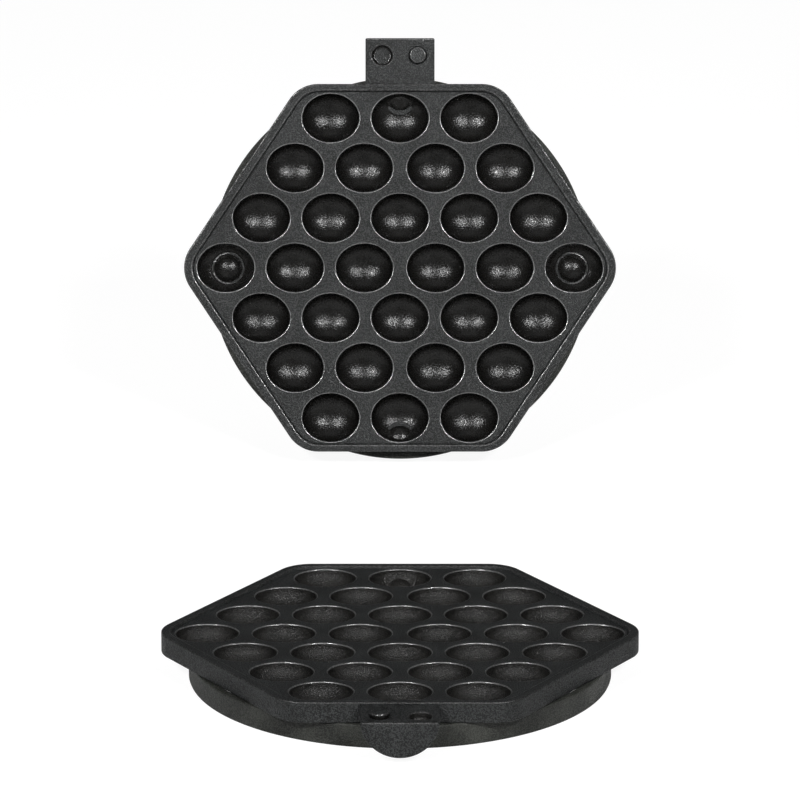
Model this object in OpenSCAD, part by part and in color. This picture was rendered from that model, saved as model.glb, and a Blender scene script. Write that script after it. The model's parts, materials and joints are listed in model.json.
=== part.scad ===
// Egg waffle pan: two equal cast halves that close face to face, each with
// thirty oval cavities, a round skirt below it and a half-round gripping lug.
// The lower half lies on its skirt, and the upper half stands open behind it.
// The origin is the centre of the lower skirt's foot, with +Z up and the lugs
// of both halves on the -Y side when they are closed.

/* [Cavities] */
// Distance between cavity centres along a row
pitch_x = 34; // [33:0.1:36]
// Distance between rows
pitch_y = 24.5; // [24.3:0.1:25]
// Cavities in the middle row, one fewer in each row away from it
middle_row = 6; // [5:1:6]
// Rows on each side of the middle row
side_rows = 3; // [2:1:3]
// Extra space in the middle of a row with an even count
middle_gap = 1; // [0:0.1:1.5]
// Length of one oval cavity, along the row
cavity_length = 28.4; // [24:0.1:29]
// Width of one oval cavity, across the row
cavity_width = 24.3; // [20:0.1:24.4]
// Depth of one cavity below the cooking face
cavity_depth = 9; // [7:0.1:9.2]
// Thickness of the metal round the bottom of a cavity
cavity_wall = 2; // [1.5:0.1:2.2]

/* [Plate] */
// Height of the parting plane above the foot of the skirt
half_height = 20; // [19.5:0.1:22]
// Height of the plate's edge, from its underside to the parting plane
plate_height = 9.5; // [9.3:0.1:10]
// Height of the rim above the cooking face
rim_height = 1.2; // [0.8:0.1:1.6]
// Distance from the centre to the two straight sides across the lug
apothem_y = 90.2; // [88.5:0.1:91]
// Distance from the centre to the four slanted sides
apothem_slant = 91; // [89.5:0.1:91.5]
// Angle between the X axis and the normal of a slanted side
slant_angle = 33.7; // [33:0.1:34.5]
// Radius of the plate's corners
corner_radius = 17; // [14:0.5:19]
// Distance from the centre to every side of the recessed cooking face
recess_apothem = 87.2; // [86:0.1:87.5]
// Radius of the recess's corners
recess_corner = 13.2; // [10:0.2:15]
// Width of the sloping step round the recess
recess_slope = 0.8; // [0.4:0.1:1.2]

/* [Skirt] */
// Outer radius of the round skirt
skirt_radius = 93.8; // [93:0.1:95]
// Thickness of the skirt's wall
skirt_wall = 3.4; // [2.5:0.1:3.6]
// Size of the bevel on the skirt's upper outer edge
skirt_bevel = 0.8; // [0.4:0.1:1.2]
// Clearance between the skirt and the plate's cavities that reach over it
skirt_clearance = 0.3; // [0.2:0.05:0.6]

/* [Fastening] */
// Distance from the skirt's inner wall to the middle of a boss and its screw
boss_inset = 5.9; // [5.4:0.1:6.4]
// Diameter of a boss
boss_d = 14.7; // [13:0.1:15]
// Distance that a boss stands out below the backs of the cavities
boss_drop = 1.3; // [0.8:0.1:1.8]
// Diameter of the dome that closes a boss inside a cavity
dome_d = 14.2; // [12:0.1:14.6]
// Radius of the dome's crown
dome_crown = 9.5; // [8.5:0.1:12]
// Depth of the dome's top below the cooking face
dome_depth = 4.3; // [3.8:0.1:4.6]
// Thickness of the skirt's ears
ear_height = 3; // [2.5:0.1:3.2]
// Diameter of a screw's shank
screw_d = 6; // [5:0.5:6]
// Clearance of the shank in its holes, on the radius
screw_clearance = 0.1; // [0.05:0.05:0.2]
// Length of a screw's shank
screw_length = 8; // [7:0.1:8.4]
// Free depth beyond the end of a screw
screw_run_out = 0.6; // [0.3:0.1:0.8]
// Diameter of a screw's head
head_d = 10.5; // [9.5:0.1:11.5]
// Height of a screw's head
head_height = 2.8; // [2.2:0.1:3]
// Width across the flats of the key socket in a screw's head
key_width = 4; // [3:0.5:4.5]
// Depth of the key socket
key_depth = 1.8; // [1.2:0.1:2]

/* [Lug] */
// Width of the half-round lug
lug_width = 34; // [32:0.5:36]
// Distance from the centre to the lug's end
lug_reach = 112.7; // [111:0.1:117]
// Distance of the lug's flat face below the parting plane
lug_relief = 0.8; // [0.4:0.1:1]
// Gap between the skirt's wall and the lower part of the lug
lug_gap = 0.6; // [0.4:0.1:1]
// Distance of the pin and its socket from the lug's end
pin_inset = 8.4; // [7.5:0.1:10]
// Distance of the pin and its socket from the lug's middle line
pin_offset = 8.7; // [8:0.1:9]
// Diameter of the locating pin
pin_d = 8.2; // [7:0.1:8.4]
// Height of the pin above the parting plane
pin_rise = 1.4; // [1.2:0.1:2.4]
// Depth of the pin below the lug's flat face
pin_depth = 8; // [6:0.5:9]
// Clearance of the pin in its seat, on the radius
pin_clearance = 0.05; // [0.05:0.01:0.1]
// Width and depth of the bevel round the pin's seat and on its tip
pin_bevel = 0.5; // [0.3:0.1:0.8]
// Diameter of the socket that takes the other half's pin
socket_d = 9.8; // [9.6:0.1:10.2]
// Depth of the socket below the lug's flat face
socket_depth = 3.6; // [3.2:0.1:6]
// Width and depth of the bevel round the socket's mouth
socket_bevel = 0.55; // [0.3:0.05:0.8]

/* [Open pose] */
// Angle by which the upper half leans back from upright
lean = 17.7; // [15:0.1:20]
// Distance from the lower half's centre to the upper half's face centre
open_y = 313.1; // [300:0.1:330]

/* [Hidden] */
$fn = 64;
eps = 0.01;

face_z = half_height - rim_height;
plate_z = half_height - plate_height;
lug_face_z = half_height - lug_relief;
skirt_inner = skirt_radius - skirt_wall;
boss_circle = skirt_inner - boss_inset;
boss_foot = face_z - cavity_depth - cavity_wall - boss_drop;
dome_centre = face_z - dome_depth - dome_crown;
pin_reach = lug_reach - pin_inset;
cavity_rows = [
    for (row = [-side_rows:side_rows])
    let (count = middle_row - abs(row))
    for (i = [0:count - 1])
    let (column = i - (count - 1) / 2, spread = count % 2 == 0 ? middle_gap / 2 : 0)
    [column * pitch_x + sign(column) * spread, row * pitch_y]
];
open_z = skirt_radius * cos(lean) + half_height * sin(lean);
cast_grey = [0.24, 0.25, 0.25];
skirt_grey = [0.20, 0.21, 0.20];
steel = [0.62, 0.62, 0.60];

// A hexagon with rounded corners, straight across Y and slanted towards X.
module hexagon(straight, slant, corner) {
    inner_straight = straight - corner;
    inner_slant = slant - corner;
    tip = inner_slant / cos(slant_angle);
    shoulder = (inner_slant - inner_straight * sin(slant_angle)) / cos(slant_angle);
    offset(r = corner)
        polygon([
            [tip, 0], [shoulder, inner_straight], [-shoulder, inner_straight],
            [-tip, 0], [-shoulder, -inner_straight], [shoulder, -inner_straight]
        ]);
}

// The half-ellipsoid of a cavity, grown on every side by the given amount.
module oval(at, grow = 0) {
    translate([at[0], at[1], face_z])
        scale([cavity_length / 2 + grow, cavity_width / 2 + grow, cavity_depth + grow])
            sphere(r = 1);
}

// The cooking face's recess inside the rim, with its sloping step.
module recess() {
    hull() {
        translate([0, 0, face_z])
            linear_extrude(eps)
                hexagon(recess_apothem - recess_slope, recess_apothem - recess_slope, recess_corner);
        translate([0, 0, half_height])
            linear_extrude(eps)
                hexagon(recess_apothem, recess_apothem, recess_corner);
    }
}

// Puts its children at each of the four bosses.
module at_boss(i) {
    rotate([0, 0, 90 * i])
        translate([boss_circle, 0, 0])
            children();
}

// The bottoms of the cavities that stand out below the plate, inside the skirt.
module cavity_backs() {
    intersection() {
        union() for (at = cavity_rows) oval(at, cavity_wall);
        cylinder(r = skirt_radius, h = face_z - rim_height);
    }
}

// Keeps its children inside the skirt's wall, as they stand at a boss.
module inside_skirt() {
    intersection() {
        children();
        translate([-boss_circle, 0, 0])
            cylinder(r = skirt_inner - skirt_clearance, h = half_height);
    }
}

// A boss on the plate's back, flattened where the skirt's wall passes it.
module boss() {
    inside_skirt()
        translate([0, 0, boss_foot])
            cylinder(d = boss_d, h = plate_z + eps - boss_foot);
}

// The closed end of a boss, which shows as a dome in the cavity above it.
module dome() {
    intersection() {
        translate([0, 0, dome_centre])
            sphere(r = dome_crown);
        translate([0, 0, plate_z])
            cylinder(d = dome_d, h = dome_crown);
    }
    inside_skirt()
        translate([0, 0, boss_foot])
            cylinder(d = dome_d, h = plate_z + eps - boss_foot);
}

module screw_hole() {
    translate([0, 0, boss_foot - eps])
        cylinder(d = screw_d + 2 * screw_clearance, h = screw_length - ear_height + screw_run_out + eps);
}

// Half of a round bar, flat at the top, between two distances from the centre.
module half_bar(from, to) {
    intersection() {
        translate([0, -from, half_height])
            rotate([90, 0, 0])
                cylinder(d = lug_width, h = to - from);
        translate([-lug_width, -to, 0])
            cube([2 * lug_width, to - from, lug_face_z]);
    }
}

module lug() {
    half_bar(skirt_radius + lug_gap, lug_reach);
    intersection() {
        half_bar(recess_apothem, skirt_radius + lug_gap + eps);
        translate([-lug_width, -lug_reach, plate_z])
            cube([2 * lug_width, lug_reach, plate_height]);
    }
}

// A round seat with a bevelled mouth in the lug's flat face.
module seat(d, depth, bevel) {
    translate([0, 0, lug_face_z - depth])
        cylinder(d = d, h = depth + eps);
    translate([0, 0, lug_face_z - bevel])
        cylinder(d1 = d, d2 = d + 2 * bevel + eps, h = bevel + eps);
}

module plate() {
    color(cast_grey)
        difference() {
            union() {
                difference() {
                    union() {
                        translate([0, 0, plate_z])
                            linear_extrude(plate_height)
                                hexagon(apothem_y, apothem_slant, corner_radius);
                        cavity_backs();
                        for (i = [0:3]) at_boss(i) boss();
                        lug();
                    }
                    recess();
                    for (at = cavity_rows) oval(at);
                }
                for (i = [0:3]) at_boss(i) dome();
            }
            for (i = [0:3]) at_boss(i) screw_hole();
            translate([-pin_offset, -pin_reach, 0])
                seat(pin_d + 2 * pin_clearance, pin_depth, pin_bevel);
            translate([pin_offset, -pin_reach, 0])
                seat(socket_d, socket_depth, socket_bevel);
        }
}

// The wall of the skirt, bevelled along its upper outer edge.
module skirt_ring() {
    rotate_extrude()
        polygon([
            [skirt_inner, 0], [skirt_radius, 0], [skirt_radius, plate_z - skirt_bevel],
            [skirt_radius - skirt_bevel, plate_z], [skirt_inner, plate_z]
        ]);
}

// An ear that reaches in from the skirt's wall to a boss.
module ear() {
    translate([0, 0, boss_foot - ear_height]) {
        cylinder(d = boss_d, h = ear_height);
        translate([0, -boss_d / 2, 0])
            cube([skirt_inner + skirt_wall / 2 - boss_circle, boss_d, ear_height]);
    }
}

module skirt() {
    color(skirt_grey)
        difference() {
            union() {
                skirt_ring();
                for (i = [0:3]) at_boss(i) ear();
            }
            for (at = cavity_rows)
                if (norm(at) + cavity_length / 2 > skirt_inner)
                    oval(at, cavity_wall + skirt_clearance);
            for (i = [0:3])
                at_boss(i)
                    translate([0, 0, boss_foot - ear_height - eps])
                        cylinder(d = screw_d + 2 * screw_clearance, h = ear_height + 2 * eps);
        }
}

// A button-headed screw with a six-sided key socket, head down.
module screw() {
    head_z = boss_foot - ear_height - head_height;
    color(steel)
        difference() {
            union() {
                translate([0, 0, head_z + head_height])
                    cylinder(d = screw_d, h = screw_length);
                translate([0, 0, head_z])
                    cylinder(d1 = head_d - head_height, d2 = head_d, h = head_height / 2);
                translate([0, 0, head_z + head_height / 2])
                    cylinder(d = head_d, h = head_height / 2);
            }
            translate([0, 0, head_z - eps])
                cylinder(d = key_width / cos(30), h = key_depth + eps, $fn = 6);
        }
}

module pin() {
    tip_z = half_height + pin_rise;
    root_z = lug_face_z - pin_depth;
    color(steel)
        translate([-pin_offset, -pin_reach, 0]) {
            translate([0, 0, root_z])
                cylinder(d = pin_d, h = tip_z - pin_bevel - root_z);
            translate([0, 0, tip_z - pin_bevel])
                cylinder(d1 = pin_d, d2 = pin_d - 2 * pin_bevel, h = pin_bevel);
        }
}

// Turns a half face to face with the lower one and swings it open to its rest.
module opened() {
    translate([0, open_y, open_z])
        rotate([-90 - lean, 0, 0])
            rotate([0, 180, 0])
                translate([0, 0, -half_height])
                    children();
}

module lower_plate() { plate(); }
module lower_skirt() { skirt(); }
module lower_pin() { pin(); }
module lower_screw(i) { at_boss(i) screw(); }
module upper_plate() { opened() plate(); }
module upper_skirt() { opened() skirt(); }
module upper_pin() { opened() pin(); }
module upper_screw(i) { opened() at_boss(i) screw(); }

lower_plate();
lower_skirt();
lower_pin();
for (i = [0:3]) lower_screw(i);
upper_plate();
upper_skirt();
upper_pin();
for (i = [0:3]) upper_screw(i);
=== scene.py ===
"""Egg waffle pan: two equal non-stick cast halves, one on its skirt and one open behind it."""

import json
import logging
import math
from dataclasses import dataclass, field
from enum import Enum, IntEnum
from typing import ClassVar

import bmesh
import bpy
import numpy as np
from mathutils import Matrix, Vector
from mathutils.geometry import delaunay_2d_cdt

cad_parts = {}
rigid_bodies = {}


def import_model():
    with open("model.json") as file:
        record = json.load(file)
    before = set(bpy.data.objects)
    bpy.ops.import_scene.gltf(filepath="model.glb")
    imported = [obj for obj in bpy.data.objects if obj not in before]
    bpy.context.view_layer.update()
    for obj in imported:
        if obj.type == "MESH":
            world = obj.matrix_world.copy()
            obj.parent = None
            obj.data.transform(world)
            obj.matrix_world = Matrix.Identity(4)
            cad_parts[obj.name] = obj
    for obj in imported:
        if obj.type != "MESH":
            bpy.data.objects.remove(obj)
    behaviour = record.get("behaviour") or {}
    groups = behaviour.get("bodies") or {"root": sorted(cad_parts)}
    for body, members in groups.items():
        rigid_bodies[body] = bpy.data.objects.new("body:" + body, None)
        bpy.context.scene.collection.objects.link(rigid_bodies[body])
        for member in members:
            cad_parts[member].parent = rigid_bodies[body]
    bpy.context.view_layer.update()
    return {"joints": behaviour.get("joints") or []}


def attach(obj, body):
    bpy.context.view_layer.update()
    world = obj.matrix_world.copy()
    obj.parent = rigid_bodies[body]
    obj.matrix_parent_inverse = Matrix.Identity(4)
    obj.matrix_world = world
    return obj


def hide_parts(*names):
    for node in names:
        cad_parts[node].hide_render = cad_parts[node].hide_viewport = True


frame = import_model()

LOG = logging.getLogger("egg_waffle_pan")
MM = 0.001
QUARTER = math.pi / 2
WHITE = (1.0, 1.0, 1.0, 1.0)


class Side(Enum):
    """The two halves, named as the frame's bodies and nodes name them."""

    LOWER = "lower"
    UPPER = "upper"


class Slot(Enum):
    """The record's material slots."""

    PLATE = "coated_plate"
    SKIRT = "coated_skirt"
    PIN = "coated_pin"
    STEEL = "steel"


class FinishAndHighlight(IntEnum):
    """The finishes of a coated piece and the painted highlights along its lips and edges, numbered as its
    faces' materials are.
    """

    WEB = 0
    CAVITY = 1
    # LIP_HIGHLIGHT and EDGE_HIGHLIGHT are painted highlights: light grey coatings that stand in for the
    # light caught by rounded edges.
    LIP_HIGHLIGHT = 2
    EDGE_HIGHLIGHT = 3


@dataclass(frozen=True)
class PanSizes:
    """Sizes of one half in millimetres, with the foot of its skirt at z = 0 and its lug towards -Y."""

    pitch_x: float = 34.0
    pitch_y: float = 24.5
    middle_row: int = 6
    side_rows: int = 3
    middle_gap: float = 1.0
    cavity_length: float = 28.4
    cavity_width: float = 24.3
    cavity_depth: float = 9.0
    cavity_wall: float = 2.0
    lip_radius: float = 0.5
    half_height: float = 20.0
    plate_height: float = 9.5
    rim_height: float = 1.2
    apothem_y: float = 90.2
    apothem_slant: float = 91.0
    slant_angle: float = 33.7
    corner_radius: float = 17.0
    recess_apothem: float = 87.2
    recess_corner: float = 13.2
    recess_slope: float = 0.8
    rim_edge: float = 0.6
    skirt_radius: float = 93.8
    skirt_wall: float = 3.4
    boss_circle: float = 84.5
    boss_d: float = 14.7
    boss_foot: float = 6.5
    boss_edge: float = 0.5
    boss_gap: float = 0.3
    dome_d: float = 14.2
    dome_crown: float = 9.5
    dome_depth: float = 4.3
    dome_foot: float = 0.45
    ear_height: float = 3.0
    lug_width: float = 34.0
    lug_reach: float = 112.7
    lug_relief: float = 0.8
    lug_gap: float = 0.6
    lug_edge: float = 0.6
    pin_reach: float = 104.3
    pin_offset: float = 8.7
    pin_d: float = 8.2
    pin_rise: float = 1.4
    pin_seat_ring: float = 0.5
    pin_depth: float = 8.0
    socket_d: float = 9.8
    socket_depth: float = 3.6
    socket_bevel: float = 0.55
    socket_round: float = 1.2

    @property
    def face_z(self) -> float:
        """Height of the cooking face."""
        return self.half_height - self.rim_height

    @property
    def plate_z(self) -> float:
        """Height of the plate's underside."""
        return self.half_height - self.plate_height

    @property
    def lug_z(self) -> float:
        """Height of the lug's flat face."""
        return self.half_height - self.lug_relief

    @property
    def skirt_inner(self) -> float:
        """Inner radius of the skirt."""
        return self.skirt_radius - self.skirt_wall

    def cavities(self) -> np.ndarray:
        """Lays out the cavity centres, one fewer in each row away from the middle.

        Returns:
            An array of x and y in millimetres, one row per cavity.
        """
        centres = []
        for row in range(-self.side_rows, self.side_rows + 1):
            count = self.middle_row - abs(row)
            column = np.arange(count) - (count - 1) / 2
            spread = self.middle_gap / 2 if count % 2 == 0 else 0.0
            x = column * self.pitch_x + np.sign(column) * spread
            centres.append(np.column_stack([x, np.full(count, row * self.pitch_y)]))
        return np.vstack(centres)

    def bosses(self) -> np.ndarray:
        """Gives the x and y of the four bosses.

        Returns:
            An array of four rows of x and y in millimetres.
        """
        angle = np.arange(4) * QUARTER
        return self.boss_circle * np.column_stack([np.cos(angle), np.sin(angle)])


class Sig:
    """A shader socket that can be added, subtracted and multiplied in Python."""

    def __init__(self, nodes: "Nodes", socket: bpy.types.NodeSocket) -> None:
        """Wraps one output socket."""
        self.nodes = nodes
        self.socket = socket

    def _math(self, operation: str, *values: "Sig | float") -> "Sig":
        """Adds one Math node."""
        return self.nodes.add("ShaderNodeMath", {"operation": operation}, dict(enumerate(values)))

    def __add__(self, other: "Sig | float") -> "Sig":
        """Adds."""
        return self._math("ADD", self, other)

    __radd__ = __add__

    def __mul__(self, other: "Sig | float") -> "Sig":
        """Multiplies."""
        return self._math("MULTIPLY", self, other)

    def __sub__(self, other: "Sig | float") -> "Sig":
        """Subtracts."""
        return self._math("SUBTRACT", self, other)

    def __rsub__(self, other: "Sig | float") -> "Sig":
        """Subtracts from a number."""
        return self._math("SUBTRACT", other, self)

    def step(self, low: float, high: float) -> "Sig":
        """Rises smoothly from 0 at low to 1 at high."""
        settings = {"interpolation_type": "SMOOTHSTEP"}
        return self.nodes.add("ShaderNodeMapRange", settings, {0: self, 1: low, 2: high, 3: 0.0, 4: 1.0})


class Nodes:
    """Builds the nodes of one material or of the world."""

    def __init__(self, owner: bpy.types.Material | bpy.types.World, output: str = "Material") -> None:
        """Empties the owner's nodes.

        Args:
            owner: The material or the world.
            output: Material or World, the kind of its output node.
        """
        owner.use_nodes = True
        self.owner = owner
        self.output = f"ShaderNodeOutput{output}"
        self.tree = owner.node_tree
        self.tree.nodes.clear()

    def add(
        self, kind: str, settings: dict | None = None, values: dict | None = None, out: int | str = 0
    ) -> Sig:
        """Adds a node.

        Args:
            kind: The node's type.
            settings: Properties of the node, set first.
            values: Values or links of its inputs, by name or number.
            out: The output that is wanted.

        Returns:
            The wanted output.
        """
        node = self.tree.nodes.new(kind)
        for key, value in (settings or {}).items():
            setattr(node, key, value)
        for key, value in (values or {}).items():
            if isinstance(value, Sig):
                self.tree.links.new(value.socket, node.inputs[key])
            else:
                node.inputs[key].default_value = value
        return Sig(self, node.outputs[out])

    def mix(self, factor: Sig, low: tuple, high: tuple) -> Sig:
        """Mixes two colours by a factor."""
        values = {0: factor, 6: (*low, 1.0), 7: (*high, 1.0)}
        return self.add("ShaderNodeMix", {"data_type": "RGBA"}, values, out=2)

    def noise(self, scale: float, detail: float = 2.0, rough: float = 0.5) -> Sig:
        """Adds noise on the object's coordinates, with cells of about 1 / scale metres."""
        point = self.add("ShaderNodeTexCoord", out="Object")
        values = {"Vector": point, "Scale": scale, "Detail": detail, "Roughness": rough}
        return self.add("ShaderNodeTexNoise", {}, values)

    def bump(self, strength: float, distance: float, height: Sig) -> Sig:
        """Turns a height into a normal."""
        values = {"Strength": strength, "Distance": distance, "Height": height}
        return self.add("ShaderNodeBump", {}, values)

    def shader(self, **values: "Sig | float") -> bpy.types.Material:
        """Ends the material with a Principled shader.

        Args:
            values: Its inputs by name, with _ for each space.

        Returns:
            The finished material.
        """
        named = {key.replace("_", " "): value for key, value in values.items()}
        return self.surface(self.add("ShaderNodeBsdfPrincipled", {}, named))

    def surface(self, shader: Sig) -> bpy.types.Material | bpy.types.World:
        """Links the shader to a new output node and gives the owner back."""
        node = self.tree.nodes.new(self.output)
        self.tree.links.new(shader.socket, node.inputs["Surface"])
        return self.owner

    def backdrop(self, reflected: float) -> Sig:
        """Says how far a ray sees the white backdrop: wholly from the camera, partly by reflection."""
        glossy = self.add("ShaderNodeLightPath", out="Is Glossy Ray")
        through = self.add("ShaderNodeLightPath", out="Is Transmission Ray")
        return self.add("ShaderNodeLightPath", out="Is Camera Ray") + (glossy + through) * reflected


@dataclass(frozen=True)
class Coating:
    """The speckled dark non-stick coating, and the painted highlights drawn the same way, from its darkest
    to its lightest colour.
    """

    name: str
    dark: tuple[float, float, float]
    light: tuple[float, float, float]
    roughness: float = 0.5
    speck: float = 0.8
    bump: float = 0.4
    grain: float = 1700.0
    metallic: float = 0.0
    specular: float = 0.3
    mottle: float = 60.0
    swing: float = 0.12
    relief: float = 0.0003

    def material(self) -> bpy.types.Material:
        """Builds the coating: grey mottling, fine pale specks and a grainy relief.

        Returns:
            The finished material.
        """
        n = Nodes(bpy.data.materials.new(self.name))
        mottle = n.noise(self.mottle, 3.0).step(0.3, 0.7)
        fine = n.noise(self.grain, 1.0)
        speck = fine.step(0.42, 0.62)
        colour = n.mix(mottle * (1.0 - self.speck) + speck * self.speck, self.dark, self.light)
        height = fine.step(0.3, 0.7) + n.noise(self.grain * 2.2, 1.0) * 0.5
        return n.shader(
            Base_Color=colour,
            Roughness=self.roughness + (1.0 - speck) * self.swing - self.swing / 2,
            Normal=n.bump(self.bump, self.relief, height),
            Metallic=self.metallic,
            Specular_IOR_Level=self.specular,
        )


@dataclass(frozen=True)
class TurnedSteel:
    """Bare steel of the screws, dulled by use."""

    name: str
    colour: tuple[float, float, float]
    dull: tuple[float, float, float]
    metallic: float = 0.85
    roughness: float = 0.34

    def material(self) -> bpy.types.Material:
        """Builds the steel: fine-grained grey with darker, duller stains.

        Returns:
            The finished material.
        """
        n = Nodes(bpy.data.materials.new(self.name))
        stain = n.noise(260.0, 4.0, 0.6).step(0.4, 0.75)
        return n.shader(
            Base_Color=n.mix(stain, self.colour, self.dull),
            Metallic=self.metallic,
            Roughness=self.roughness + stain * 0.2,
            Normal=n.bump(0.2, 0.0001, n.noise(2600.0, 1.0)),
        )


@dataclass
class Shell:
    """Patches of one piece in millimetres, welded into one mesh at the end.

    Patches meet within the weld distance, and faces thinner than the sliver distance go. Both
    are in metres.
    """

    weld: ClassVar[float] = 2e-6
    sliver: ClassVar[float] = 1e-7
    points: list[np.ndarray] = field(default_factory=list)
    faces: list[np.ndarray] = field(default_factory=list)
    finishes: list[np.ndarray] = field(default_factory=list)
    count: int = 0

    def add(self, points: np.ndarray, faces: np.ndarray, finish: int | np.ndarray = FinishAndHighlight.WEB) -> None:
        """Adds a patch.

        Args:
            points: Corner positions, one row each.
            faces: Corner numbers within this patch, one row per face.
            finish: The number of the patch's material in the piece, or one for each face.
        """
        self.points.append(points)
        self.faces.append(faces + self.count)
        self.finishes.append(np.broadcast_to(finish, len(faces)))
        self.count += len(points)

    def grid(self, rows: np.ndarray, closed: bool = True, finish: int | np.ndarray = FinishAndHighlight.WEB) -> None:
        """Adds a grid of quads.

        Args:
            rows: Positions as an array of rows by columns by 3.
            closed: Whether the last column joins the first.
            finish: The number of the grid's material in the piece, or one for each quad.
        """
        high, wide = rows.shape[:2]
        number = np.arange(high * wide).reshape(high, wide)
        right = np.roll(number, -1, axis=1)
        if not closed:
            number, right = number[:, :-1], right[:, :-1]
        quads = np.stack([number[:-1], right[:-1], right[1:], number[1:]], axis=-1)
        self.add(rows.reshape(-1, 3), quads.reshape(-1, 4), finish)

    def fan(self, ring: np.ndarray, finish: int = FinishAndHighlight.WEB) -> None:
        """Closes a ring of points with triangles about its middle."""
        n = len(ring)
        number = np.arange(n)
        tris = np.column_stack([number, np.roll(number, -1), np.full(n, n)])
        self.add(np.vstack([ring, ring.mean(axis=0)]), tris, finish)

    def sheet(self, outer: np.ndarray, holes: list[np.ndarray], z: float) -> None:
        """Fills a flat outline that has round or oval holes.

        Args:
            outer: The convex outline's x and y.
            holes: Each hole's x and y.
            z: The sheet's height.
        """
        loops = [outer, *holes]
        verts = np.vstack(loops)
        edges, start = [], 0
        for loop in loops:
            number = np.arange(start, start + len(loop))
            edges.append(np.column_stack([number, np.roll(number, -1)]))
            start += len(loop)
        flat = [Vector(v) for v in verts.tolist()]
        got = delaunay_2d_cdt(flat, np.vstack(edges).tolist(), [], 0, 1e-7)
        points, tris = np.array([tuple(v) for v in got[0]]), np.array(got[2])
        middle = points[tris].mean(axis=1)
        keep = np.ones(len(tris), bool)
        for hole in holes:
            centre = (hole.max(axis=0) + hole.min(axis=0)) / 2
            radius = (hole.max(axis=0) - hole.min(axis=0)) / 2
            keep &= (((middle - centre) / radius) ** 2).sum(axis=1) > 1.0
        self.add(np.column_stack([points, np.full(len(points), z)]), tris[keep])

    def piece(self, name: str, place: Matrix, sharp: float = 40.0) -> bpy.types.Object:
        """Welds the patches into one object.

        Args:
            name: The object's name.
            place: Puts the half's millimetres into the scene's metres.
            sharp: Angle in degrees from which an edge is shaded sharp.

        Returns:
            The object, at the origin, with its place in its mesh.
        """
        mesh = bpy.data.meshes.new(name)
        matrix = np.array(place)
        points = np.vstack(self.points) @ matrix[:3, :3].T + matrix[:3, 3]
        faces = [f for patch in self.faces for f in patch.tolist()]
        mesh.from_pydata(points.tolist(), [], faces)
        mesh.polygons.foreach_set("material_index", np.concatenate(self.finishes))
        work = bmesh.new()
        work.from_mesh(mesh)
        bmesh.ops.remove_doubles(work, verts=work.verts, dist=self.weld)
        bmesh.ops.dissolve_degenerate(work, edges=work.edges, dist=self.sliver)
        bmesh.ops.recalc_face_normals(work, faces=work.faces)
        work.to_mesh(mesh)
        work.free()
        mesh.polygons.foreach_set("use_smooth", np.ones(len(mesh.polygons), bool))
        mesh.set_sharp_from_angle(angle=math.radians(sharp))
        obj = bpy.data.objects.new(name, mesh)
        bpy.context.scene.collection.objects.link(obj)
        return obj


def turn(count: int) -> np.ndarray:
    """Gives evenly spaced angles once round, without the last."""
    return np.arange(count) * 2 * math.pi / count


def revolve(profile: list[tuple[float, float]], at: tuple[float, float], count: int) -> np.ndarray:
    """Turns a profile of radius and height about an upright axis.

    Args:
        profile: Radius and height of each ring.
        at: The axis's x and y.
        count: Points round each ring.

    Returns:
        A grid of positions.
    """
    t = turn(count)
    r, z = np.array(profile).T
    x = at[0] + r[:, None] * np.cos(t)
    y = at[1] + r[:, None] * np.sin(t)
    return np.stack([x, y, np.broadcast_to(z[:, None], x.shape)], axis=-1)


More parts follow.
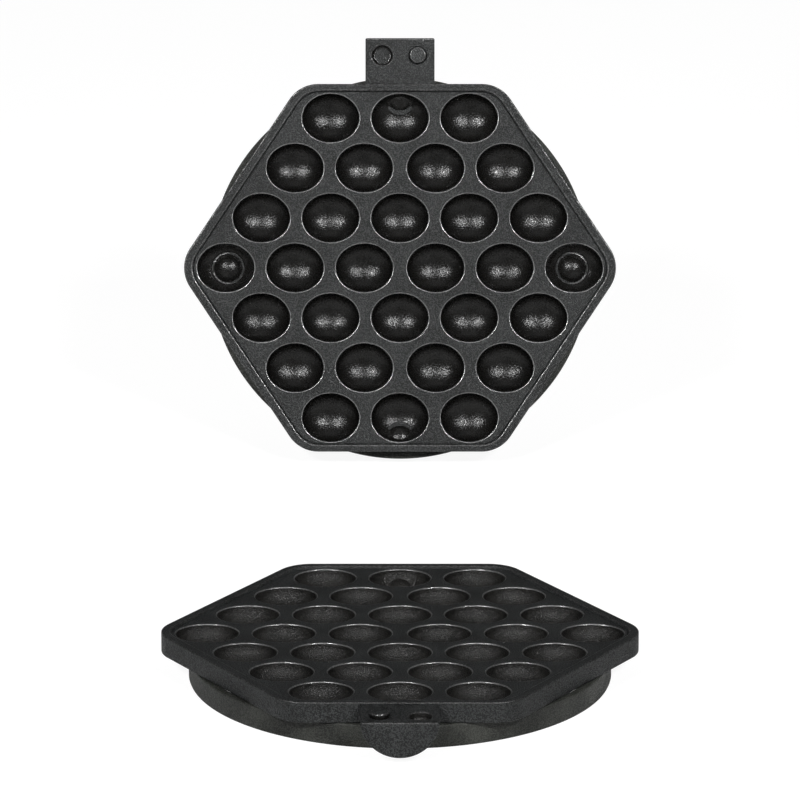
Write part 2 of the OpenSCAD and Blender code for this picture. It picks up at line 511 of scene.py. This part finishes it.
@dataclass
class HalfPan:
    """One half of the pan: its casting, skirt, locating pin and screws.

    The step counts are the points of a corner, of an oval, from a cavity's bottom to its lip and
    over the lip, of a turned hole or peg, round the skirt, and of an edge. A cavity with a crown
    has dome_around times the points round it and dome_steps times the rings. Narrow flat strips
    of the width strip lie beside the edges and keep their shading crisp.
    """

    side: Side
    place: Matrix
    sizes: PanSizes
    corner_steps: int = 12
    oval_steps: int = 64
    bowl_steps: int = 14
    lip_steps: int = 5
    turned_steps: int = 48
    skirt_steps: int = 256
    edge_steps: int = 5
    dome_around: int = 3
    dome_steps: int = 4
    strip: float = 0.2

    def name(self, piece: str) -> str:
        """Names a piece of this half."""
        return f"{self.side.value}_{piece}"

    def quarter_turn(self) -> np.ndarray:
        """Gives the angles of a rounded edge, from 0 to a quarter turn."""
        return np.linspace(0, QUARTER, self.edge_steps)

    def turned(self, profile: list[tuple[float, float]], at: tuple[float, float]) -> np.ndarray:
        """Turns a profile of radius and height about an upright axis, at this half's fineness."""
        return revolve(profile, at, self.turned_steps)

    def hexagon(self, straight: float, slant: float, corner: float) -> np.ndarray:
        """Lays out a hexagon with rounded corners, point for point alike for every size.

        Each corner is an arc about a point of the inner hexagon, swept between the normals of the
        two sides beside it.

        Args:
            straight: Distance of the two straight sides from the centre.
            slant: Distance of the four slanted sides.
            corner: Radius of the corners.

        Returns:
            An array of x and y.
        """
        angle = math.radians(self.sizes.slant_angle)
        tip = (slant - corner) / math.cos(angle)
        shoulder_y = straight - corner
        shoulder_x = (slant - corner - shoulder_y * math.sin(angle)) / math.cos(angle)
        centres = [(tip, 0), (shoulder_x, shoulder_y), (-shoulder_x, shoulder_y)]
        centres += [(-x, -y) for x, y in centres]
        normals = [-angle, angle, QUARTER, 2 * QUARTER - angle, 2 * QUARTER + angle, 3 * QUARTER]
        normals += [4 * QUARTER - angle]
        arcs = []
        for (x, y), start, end in zip(centres, normals[:-1], normals[1:], strict=True):
            t = np.linspace(start, end, self.corner_steps + 1)
            arcs.append(np.column_stack([x + corner * np.cos(t), y + corner * np.sin(t)]))
        return np.vstack(arcs)

    def hexagon_rows(self, rings: list[tuple[float, float, float, float]]) -> np.ndarray:
        """Stacks hexagons of straight, slant, corner and height into a grid."""
        rows = []
        for straight, slant, corner, z in rings:
            xy = self.hexagon(straight, slant, corner)
            rows.append(np.column_stack([xy, np.full(len(xy), z)]))
        return np.stack(rows)

    def rim_rings(self) -> list[tuple[float, float, float, float]]:
        """Lists the hexagons from the cooking face over the rim to the plate's underside.

        The step and the edges are quarter rounds, with a narrow flat strip beside each.

        Returns:
            Straight, slant, corner and height of each hexagon.
        """
        s = self.sizes
        foot = s.recess_apothem - s.recess_slope
        beyond = 0.3
        groove = 0.35
        roundness = 0.55
        rings = []
        for inset, drop in ((0.3, 0.0), (0.27, 0.0), (0.14, groove), (0.03, groove)):
            rings.append((foot - inset, foot - inset, s.recess_corner - inset, s.face_z - drop))
        for t in np.linspace(0.12, 0.88, self.edge_steps):
            curve = (s.recess_slope + beyond) * (1 - math.cos(t * QUARTER)) * roundness
            out = foot + curve + t * (1 - roundness) * s.recess_slope
            rings.append((out, out, s.recess_corner, s.face_z + s.rim_height * math.sin(t * QUARTER)))
        for wide in (beyond, beyond + self.strip):
            top = s.recess_apothem + wide
            rings.append((top, top, s.recess_corner + wide, s.half_height))

        def outer(inset: float, z: float) -> tuple[float, float, float, float]:
            """Gives the outer hexagon, drawn in by an inset."""
            return (s.apothem_y - inset, s.apothem_slant - inset, s.corner_radius - inset, z)

        edge = s.rim_edge
        side_strip = 0.3
        over = [(edge * (1 - math.sin(t)), edge * (1 - math.cos(t))) for t in self.quarter_turn()]
        rings.append(outer(edge + self.strip, s.half_height))
        rings += [outer(inset, s.half_height - drop) for inset, drop in over]
        rings.append(outer(0.0, s.half_height - edge - side_strip))
        rings.append(outer(0.0, s.plate_z + edge + side_strip))
        rings += [outer(inset, s.plate_z + rise) for inset, rise in reversed(over)]
        rings.append(outer(edge + side_strip, s.plate_z))
        return rings

    def bowl(self, at: np.ndarray) -> np.ndarray:
        """Works out one cavity with its rounded lip.

        The bowl is half an ellipsoid whose rings follow the angle from its bottom. Its lip is a
        quarter round beyond the oval, and a narrow flat strip ends it. Where a boss stands below,
        its crown, a cap of a sphere, is taken wherever it is the higher, with a groove round its foot.

        Args:
            at: The cavity's centre.

        Returns:
            A grid of positions from the bottom out.
        """
        s = self.sizes
        boss = min(s.bosses(), key=lambda b: np.hypot(*(b - at)))
        has_dome = np.hypot(*(boss - at)) < s.cavity_width
        around, steps = self.oval_steps, self.bowl_steps
        if has_dome:
            around, steps = self.dome_around * around, self.dome_steps * steps
        t = turn(around)
        phi = np.linspace(0.02, QUARTER, steps)
        share = np.sin(phi)
        deep = s.lip_radius + (s.cavity_depth - s.lip_radius) * np.cos(phi)
        lip = np.linspace(0, QUARTER, self.lip_steps)[1:]
        grow = np.concatenate([s.lip_radius * (1 - np.cos(lip)), [s.lip_radius + 0.05]])
        half_length = (s.cavity_length - s.lip_radius) / 2
        half_width = (s.cavity_width - s.lip_radius) / 2
        a = np.concatenate([share * half_length, half_length + grow])
        b = np.concatenate([share * half_width, half_width + grow])
        down = np.concatenate([deep, s.lip_radius * (1 - np.sin(lip)), [0.0]])
        x = at[0] + a[:, None] * np.cos(t)
        y = at[1] + b[:, None] * np.sin(t)
        z = np.repeat(s.face_z - down[:, None], around, axis=1)
        if has_dome:
            off = np.hypot(x - boss[0], y - boss[1])
            top = s.face_z - s.dome_depth
            crown = top - s.dome_crown + np.sqrt(np.clip(s.dome_crown**2 - off**2, 0, None))
            radius = s.dome_d / 2
            groove = s.dome_foot * np.exp(-(((off - radius - s.dome_foot) / s.dome_foot) ** 2))
            hollow = np.where(down[:, None] > 2.0 * s.dome_foot, z - groove, z)
            z = np.where(off < radius, np.maximum(z, crown), hollow)
        return np.stack([x, y, z], axis=-1)

    def bowl_finish(self, grid: np.ndarray) -> np.ndarray:
        """Picks the finish of each quad of a bowl.

        It is the cavity's, but for a painted highlight, a light grey ring round the foot of the two crowns
        that stand free of their cavity's wall, at the left and the right.

        Args:
            grid: The bowl's positions.

        Returns:
            The number of each quad's material.
        """
        s = self.sizes
        free = s.bosses()[[0, 2]]
        middle = (grid[:-1] + np.roll(grid, -1, axis=1)[1:]).reshape(-1, 3) / 2
        away = np.hypot(*(middle[:, None, :2] - free).transpose(2, 0, 1)).min(axis=1)
        # The ring of quads round each free crown's foot takes the painted highlight.
        ring = np.abs(away - s.dome_d / 2 - s.dome_foot) < s.dome_foot * 0.8
        return np.where(ring, FinishAndHighlight.LIP_HIGHLIGHT, FinishAndHighlight.CAVITY)

    def bowl_back(self, at: np.ndarray) -> np.ndarray:
        """Works out the back of one cavity: the cap of an ellipsoid that stands out below the plate.

        Args:
            at: The cavity's centre.

        Returns:
            A grid of positions from its lowest point up to the plate.
        """
        s = self.sizes
        a, b = s.cavity_length / 2 + s.cavity_wall, s.cavity_width / 2 + s.cavity_wall
        deep = s.cavity_depth + s.cavity_wall
        end = math.acos((s.face_z - s.plate_z) / deep)
        phi = np.linspace(0.02, end, 9)
        share = np.concatenate([np.sin(phi), [math.sin(end) + 0.03]])
        down = np.concatenate([deep * np.cos(phi), [s.face_z - s.plate_z]])
        t = turn(self.oval_steps // 2)
        x = at[0] + (a * share)[:, None] * np.cos(t)
        y = at[1] + (b * share)[:, None] * np.sin(t)
        z = np.repeat(s.face_z - down[:, None], len(t), axis=1)
        z = np.where(np.hypot(x, y) > s.skirt_radius, s.plate_z, z)
        return np.stack([x, y, z], axis=-1)

    def lug_outline(self, inset: float) -> np.ndarray:
        """Outlines the lug's bar: an arc below the flat face, with a quarter round up to it.

        Args:
            inset: How far the outline is drawn in.

        Returns:
            An array of x and z, from the face's right end round below to its left end.
        """
        s = self.sizes
        edge = s.lug_edge
        radius, top = s.lug_width / 2 - inset, s.lug_z - inset
        low = math.asin((s.half_height - top + edge) / radius)
        centre = radius * math.cos(low) - edge
        t = np.linspace(QUARTER, -low, 6)[:-1]
        right = np.column_stack([centre + edge * np.cos(t), top - edge + edge * np.sin(t)])
        u = np.linspace(-low, -math.pi + low, 41)
        arc = np.column_stack([radius * np.cos(u), s.half_height + radius * np.sin(u)])
        return np.vstack([right, arc, (right * [-1, 1])[::-1]])

    def add_lug(self, shell: Shell) -> None:
        """Adds the half-round lug: a bar with a flat top, whose outline shrinks over the front edge.

        Args:
            shell: The casting that the lug belongs to.
        """
        s = self.sizes
        edge, back = s.lug_edge, s.skirt_radius + s.lug_gap
        front = s.lug_reach - edge - self.strip
        places = [(0.0, back), (0.0, front)]
        for t in self.quarter_turn():
            places.append((edge * (1 - math.cos(t)), s.lug_reach - edge * (1 - math.sin(t))))
        rows = []
        for inset, reach in places:
            xz = self.lug_outline(inset)
            rows.append(np.column_stack([xz[:, 0], np.full(len(xz), -reach), xz[:, 1]]))
        grid = np.stack(rows)
        shell.grid(grid, closed=False)
        shell.fan(grid[0])
        shell.fan(grid[-1])
        x = grid[0, 0, 0]
        flat = np.array([[x, -back], [x, -front], [-x, -front], [-x, -back]])
        holes = [self.add_pin_seat(shell), self.add_socket(shell)]
        shell.sheet(flat, holes, s.lug_z)
        # The flat face's front strip and front edge take a painted highlight.
        shell.grid(grid[1:, [0, -1]], closed=False, finish=FinishAndHighlight.EDGE_HIGHLIGHT)
        self.add_neck(shell, back)

    def add_pin_seat(self, shell: Shell) -> np.ndarray:
        """Adds the shallow seat round the foot of the pin and gives x and y of its rim."""
        s = self.sizes
        r, floor = s.pin_d / 2 + 0.05, s.lug_z - 1.2
        seat_r = s.pin_d / 2 + s.pin_seat_ring
        profile = [(seat_r + self.strip / 2, s.lug_z), (seat_r, s.lug_z - 0.02)]
        profile += [(r, s.lug_z - s.pin_seat_ring), (r, floor), (0.001, floor)]
        grid = self.turned(profile, (-s.pin_offset, -s.pin_reach))
        shell.grid(grid)
        return grid[0, :, :2]

    def add_socket(self, shell: Shell) -> np.ndarray:
        """Adds the socket, with a rounded bottom, and gives x and y of its mouth."""
        s = self.sizes
        at = (s.pin_offset, -s.pin_reach)
        r, floor, soft = s.socket_d / 2, s.lug_z - s.socket_depth, s.socket_round
        bevel, bevel_end = r + s.socket_bevel, s.lug_z - s.socket_bevel
        profile = [(bevel + self.strip / 2, s.lug_z), (bevel, s.lug_z - 0.02), (r, bevel_end)]
        mouth = self.turned(profile, at)
        # The mouth's bevel takes a painted highlight.
        shell.grid(mouth, finish=FinishAndHighlight.EDGE_HIGHLIGHT)
        wall = [(r, bevel_end), (r, floor + soft)]
        for t in np.linspace(0, QUARTER, 6)[1:]:
            wall.append((r - soft * (1 - math.cos(t)), floor + soft * (1 - math.sin(t))))
        # The wall takes the darker cavity coating, a painted shade ring inside the socket.
        shell.grid(self.turned(wall, at), finish=FinishAndHighlight.CAVITY)
        shell.grid(self.turned([wall[-1], (0.001, floor)], at))
        return mouth[0, :, :2]

    def add_neck(self, shell: Shell, back: float) -> None:
        """Adds the neck that bridges over the skirt, a little narrower than the bar.

        Args:
            shell: The casting that the neck belongs to.
            back: Distance of the bar's back from the centre.
        """
        s = self.sizes
        edge = s.lug_edge
        x, top, low = s.lug_width / 2 - 0.06, s.lug_z, 0.3 * edge
        side = np.array([[x, s.plate_z], [x, top - edge], [x - low, top - low], [x - edge, top]])
        section = np.vstack([side, (side * [-1, 1])[::-1]])
        walls = [np.full(len(section), -y) for y in (s.recess_apothem, back)]
        neck = np.stack([np.column_stack([section[:, 0], y, section[:, 1]]) for y in walls])
        shell.grid(neck)
        shell.fan(neck[0])
        shell.fan(neck[1])

    def boss_at(self, boss: np.ndarray) -> np.ndarray:
        """Draws a boss in towards the middle until it clears the skirt's inner wall."""
        s = self.sizes
        reach = s.skirt_inner - s.boss_gap - s.boss_d / 2
        return boss * min(1.0, reach / s.boss_circle)

    def add_bosses(self, shell: Shell) -> None:
        """Adds the four round bosses that stand out of the plate's back."""
        s = self.sizes
        r, edge = s.boss_d / 2, s.boss_edge
        profile = [(r - edge, s.boss_foot), (r, s.boss_foot + edge), (r, s.plate_z + 1.0)]
        for boss in s.bosses():
            grid = self.turned(profile, tuple(self.boss_at(boss)))
            shell.grid(grid)
            shell.fan(grid[0])
            shell.fan(grid[-1])

    def plate(self) -> bpy.types.Object:
        """Builds the casting with its cavities, rim, back and lug.

        The rim's hexagons fall into bands by their finish: the top of the step and the top outer edge take
        a painted highlight, a light grey coating for the light their rounded edges catch.

        Returns:
            The casting.
        """
        s = self.sizes
        shell = Shell()
        rim = self.hexagon_rows(self.rim_rings())
        # The bands from rings 6 and 12 take the painted highlight; the rest take the plate's coating.
        bands = [(0, FinishAndHighlight.WEB), (6, FinishAndHighlight.EDGE_HIGHLIGHT), (9, FinishAndHighlight.WEB), (12, FinishAndHighlight.EDGE_HIGHLIGHT), (15, FinishAndHighlight.WEB)]
        ends = [start for start, _ in bands[1:]] + [len(rim) - 1]
        for (start, finish), end in zip(bands, ends, strict=True):
            shell.grid(rim[start : end + 1], finish=finish)
        bowls = [self.bowl(at) for at in s.cavities()]
        for grid in bowls:
            inside = grid[: -self.lip_steps]
            shell.grid(inside, finish=self.bowl_finish(inside))
            # The lip's quarter round takes a painted highlight, a light grey coating for the light it
            # catches.
            shell.grid(grid[-self.lip_steps - 1 : -1], finish=FinishAndHighlight.LIP_HIGHLIGHT)
            shell.grid(grid[-2:])
            shell.fan(grid[0], finish=FinishAndHighlight.CAVITY)
        shell.sheet(rim[0, :, :2], [grid[-1, :, :2] for grid in bowls], s.face_z)
        backs = [self.bowl_back(at) for at in s.cavities()]
        for grid in backs:
            shell.grid(grid)
            shell.fan(grid[0])
        shell.sheet(rim[-1, :, :2], [grid[-1, :, :2] for grid in backs], s.plate_z)
        self.add_bosses(shell)
        self.add_lug(shell)
        return shell.piece(self.name("casting"), self.place)

    def skirt(self) -> bpy.types.Object:
        """Builds the round skirt, a turned wall with rounded edges, and its four ears."""
        s = self.sizes
        shell = Shell()
        inner, outer, top = s.skirt_inner, s.skirt_radius, s.plate_z
        outside = [(0.6, 0.0), (0.2, 0.15), (0.0, 0.6), (0.0, 0.9), (0.0, top - 1.1)]
        outside += [(0.0, top - 0.8), (0.25, top - 0.25), (0.8, top), (1.1, top)]
        inside = [(0.7, top), (0.4, top), (0.1, top - 0.1), (0.0, top - 0.4), (0.0, 0.4), (0.1, 0.1)]
        profile = [(inner + 0.4, 0.0)]
        profile += [(outer - inset, z) for inset, z in outside]
        profile += [(inner + inset, z) for inset, z in inside]
        profile += profile[:1]
        shell.grid(revolve(profile, (0.0, 0.0), self.skirt_steps))
        r, low = s.boss_d / 2, s.boss_foot - s.ear_height
        end = inner + s.skirt_wall / 2
        t = np.linspace(QUARTER, 3 * QUARTER, 25)
        arc = np.column_stack([s.boss_circle + r * np.cos(t), r * np.sin(t)])
        loop = np.vstack([arc, [[end, -r], [end, r]]])
        for quarter in range(4):
            c, d = math.cos(quarter * QUARTER), math.sin(quarter * QUARTER)
            ear = loop @ np.array([[c, d], [-d, c]])
            rows = np.stack([np.column_stack([ear, np.full(len(ear), z)]) for z in (low, s.boss_foot)])
            shell.grid(rows)
            shell.fan(rows[0])
            shell.fan(rows[1])
        return shell.piece(self.name("round_skirt"), self.place)

    def pin(self) -> bpy.types.Object:
        """Builds the locating pin, a short round peg with a rounded tip."""
        s = self.sizes
        r, tip = s.pin_d / 2, s.half_height + s.pin_rise
        soft = 0.7
        profile = [(r, s.lug_z - s.pin_depth), (r, tip - soft - self.strip)]
        for t in self.quarter_turn():
            profile.append((r - soft * (1 - math.cos(t)), tip - soft * (1 - math.sin(t))))
        profile.append((r - soft - self.strip, tip))
        shell = Shell()
        grid = self.turned(profile, (-s.pin_offset, -s.pin_reach))
        # The side wall takes the darker cavity coating, a painted shade ring round the pin; the rounded tip
        # takes a painted highlight.
        shell.grid(grid[:2], finish=FinishAndHighlight.CAVITY)
        shell.grid(grid[1:-1], finish=FinishAndHighlight.EDGE_HIGHLIGHT)
        shell.grid(grid[-2:])
        shell.fan(grid[0])
        shell.fan(grid[-1])
        return shell.piece(self.name("locating_pin"), self.place)

    def dress(self, coats: dict[Slot, list[bpy.types.Material]]) -> None:
        """Builds the pieces of this half, gives them their coatings, painted highlights and painted shade
        among them, and lets them ride on their body.

        Args:
            coats: The materials of each slot.
        """
        body = f"{self.side.value}_half"
        made = [
            (self.plate(), "plate", Slot.PLATE),
            (self.skirt(), "skirt", Slot.SKIRT),
            (self.pin(), "pin", Slot.PIN),
        ]
        for piece, node, slot in made:
            for coat in coats[slot]:
                piece.data.materials.append(coat)
            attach(piece, body)
            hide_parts(self.name(node))
            LOG.info("%s: %d faces on %s", piece.name, len(piece.data.polygons), body)
        for number in range(1, 5):
            screw = bpy.data.objects[self.name(f"screw_{number}")]
            screw.data.materials.clear()
            for coat in coats[Slot.STEEL]:
                screw.data.materials.append(coat)
            LOG.info("%s keeps its solid", screw.name)


@dataclass(frozen=True)
class Softbox:
    """A rectangular soft light: places in metres, power in watts, spread in degrees."""

    name: str
    at: tuple[float, float, float]
    aim: tuple[float, float, float]
    size: tuple[float, float]
    power: float
    spread: float = 180.0

    def hang(self) -> None:
        """Hangs the light at its place, facing its aim."""
        data = bpy.data.lights.new(self.name, "AREA")
        data.shape = "RECTANGLE"
        data.size, data.size_y = self.size
        data.energy = self.power
        data.spread = math.radians(self.spread)
        lamp = bpy.data.objects.new(self.name, data)
        lamp.location = self.at
        facing = Vector(self.aim) - Vector(self.at)
        lamp.rotation_euler = facing.to_track_quat("-Z", "Y").to_euler()
        bpy.context.scene.collection.objects.link(lamp)


@dataclass(frozen=True)
class Studio:
    """The floor, the lights and the camera.

    Distances are in metres, angles in degrees and the sensor in millimetres. The focal length is
    in pixels of a picture frame_px wide. The floor shows the camera glow_share of its glow, and
    reflected is the share of the white backdrop that a reflection sees.
    """

    distance: float = 2.6
    elevation: float = 20.0
    aim_down: float = 17.72
    focal_px: float = 5857.0
    frame_px: float = 800.0
    sensor: float = 36.0
    floor_half: float = 6.0
    floor_shade: float = 0.8
    glow: float = 1.15
    glow_share: float = 0.8
    reflected: float = 0.04
    ambient: float = 0.06

    def camera(self, face_z: float) -> None:
        """Puts the camera at the photograph's angle on the lower half.

        Args:
            face_z: Height of the lower half's cooking face in metres.
        """
        data = bpy.data.cameras.new("camera")
        data.sensor_width = self.sensor
        data.lens = self.focal_px / self.frame_px * self.sensor
        data.clip_end = 50.0
        camera = bpy.data.objects.new("camera", data)
        rise = math.radians(self.elevation)
        camera.location = (0.0, -self.distance * math.cos(rise), face_z + self.distance * math.sin(rise))
        camera.rotation_euler = (math.radians(90 - self.aim_down), 0.0, 0.0)
        bpy.context.scene.collection.objects.link(camera)
        bpy.context.scene.camera = camera

    def white(self) -> bpy.types.Material:
        """Builds the floor's matt white, which the camera sees as nearly pure white.

        Returns:
            The material.
        """
        n = Nodes(bpy.data.materials.new("floor_white"))
        shade = self.floor_shade
        matt = n.add("ShaderNodeBsdfDiffuse", {}, {"Color": (shade, shade, shade, 1.0)})
        glow = n.add("ShaderNodeEmission", {}, {"Color": WHITE, "Strength": self.glow})
        factor = n.backdrop(self.reflected) * self.glow_share
        return n.surface(n.add("ShaderNodeMixShader", {}, {0: factor, 1: matt, 2: glow}))

    def floor(self) -> None:
        """Lays the pale floor."""
        mesh = bpy.data.meshes.new("floor")
        half = self.floor_half
        corners = [(-half, -half, 0), (half, -half, 0), (half, half, 0), (-half, half, 0)]
        mesh.from_pydata(corners, [], [(0, 1, 2, 3)])
        mesh.materials.append(self.white())
        floor = bpy.data.objects.new("floor", mesh)
        bpy.context.scene.collection.objects.link(floor)

    def lights(self) -> None:
        """Hangs the two compact keys, the wide front light and the top light."""
        aim = (0.0, 0.45, 0.3)
        key = (0.28, 0.28)
        Softbox("softbox_left", (-0.83, -1.5, 1.29), aim, key, 7.0, 80.0).hang()
        Softbox("softbox_right", (0.83, -1.5, 1.29), aim, key, 7.0, 80.0).hang()
        Softbox("softbox_front", (0.0, -2.2, 1.0), (0.0, 0.0, 0.0), (1.6, 0.9), 1.0).hang()
        Softbox("softbox_top", (0.0, 0.2, 1.9), (0.0, 0.1, 0.0), (1.4, 1.0), 3.0).hang()

    def surroundings(self) -> None:
        """Makes the world dim for the object's light and white for the camera."""
        n = Nodes(bpy.data.worlds.new("studio"), "World")
        dim = n.add("ShaderNodeBackground", {}, {"Color": WHITE, "Strength": self.ambient})
        bright = n.add("ShaderNodeBackground", {}, {"Color": WHITE, "Strength": 1.0})
        mixed = n.add("ShaderNodeMixShader", {}, {0: n.backdrop(self.reflected), 1: dim, 2: bright})
        bpy.context.scene.world = n.surface(mixed)
        bpy.context.scene.view_settings.view_transform = "Standard"


def upper_place(sizes: PanSizes) -> Matrix:
    """Works out where the upper half stands, from the joint that closes it.

    Closed, the half is turned over about Y onto the lower one. The joint's range is the turn
    back about the joint's axis to the open place.

    Args:
        sizes: Sizes of one half.

    Returns:
        The matrix from the half's millimetres to the scene's metres.
    """
    joint = frame["joints"][0]
    closed_gap = 0.1
    opened = math.radians(-joint["range_deg"][1])
    pivot = Vector(joint["pos_m"])
    lift = Matrix.Translation((0, 0, (2 * sizes.half_height + closed_gap) * MM))
    closed = lift @ Matrix.Rotation(math.pi, 4, "Y")
    swing = Matrix.Translation(pivot) @ Matrix.Rotation(opened, 4, "X") @ Matrix.Translation(-pivot)
    return swing @ closed @ Matrix.Scale(MM, 4)


def coatings() -> dict[Side, dict[Slot, list[bpy.types.Material]]]:
    """Builds the materials: the lower half's cavities get a rougher and lighter copy of the upper half's
    cavity coating, painted light for how the light falls on that half, and light grey coatings paint the
    highlights along lips and edges.

    Returns:
        Each half's materials by slot, those of a coated piece in the order of Finish.
    """
    web = Coating("plate_coating", (0.0005, 0.0006, 0.0006), (0.032, 0.0343, 0.0343), bump=0.6)
    pin = Coating("pin_coating", (0.0015, 0.0018, 0.0018), (0.034, 0.037, 0.037), 0.42, bump=0.5)
    skirt = Coating("skirt_coating", (0.005, 0.0055, 0.0045), (0.046, 0.048, 0.042), speck=0.5)
    cavity = Coating(
        "cavity_coating", (0.0012, 0.0012, 0.0012), (0.006, 0.0056, 0.0048), 0.25, bump=0.18, specular=0.37
    )
    # The lower half's cavities get a rougher copy of the cavity coating with a lighter colour, painted
    # light for how the light falls on that half.
    lower_lit_cavity = Coating(
        "lower_cavity_lit_copy", (0.001, 0.001, 0.001), (0.02, 0.0192, 0.0175), 0.36, bump=0.5, specular=0.25
    )
    # The lip and edge coatings are painted highlights: light metallic grey for the light that rounded edges
    # catch, the edge one dimmer.
    lip = Coating(
        "lip_painted_highlight", (0.13, 0.13, 0.13), (0.30, 0.30, 0.30), 0.34, 0.7, 0.05, 1500.0, metallic=0.8
    )
    edge = Coating(
        "edge_painted_highlight", (0.03, 0.03, 0.03), (0.13, 0.13, 0.13), 0.36, 0.8, 0.1, 1500.0, metallic=0.8
    )
    steel = TurnedSteel("turned_steel", (0.40, 0.40, 0.39), (0.16, 0.16, 0.155))
    # bright holds the two painted highlights.
    bright = [lip.material(), edge.material()]
    plate, sheen = web.material(), cavity.material()
    shared = {
        Slot.SKIRT: [skirt.material()],
        Slot.PIN: [pin.material(), sheen, *bright],
        Slot.STEEL: [steel.material()],
    }
    return {
        Side.LOWER: {Slot.PLATE: [plate, lower_lit_cavity.material(), *bright], **shared},
        Side.UPPER: {Slot.PLATE: [plate, sheen, *bright], **shared},
    }


def main() -> None:
    """Builds the studio and both halves."""
    logging.basicConfig(level=logging.INFO, format="%(message)s")
    sizes = PanSizes()
    studio = Studio()
    studio.camera(sizes.face_z * MM)
    studio.floor()
    studio.lights()
    studio.surroundings()
    coats = coatings()
    places = {Side.LOWER: Matrix.Scale(MM, 4), Side.UPPER: upper_place(sizes)}
    for side, place in places.items():
        HalfPan(side, place, sizes).dress(coats[side])


if __name__ == "__main__":
    main()
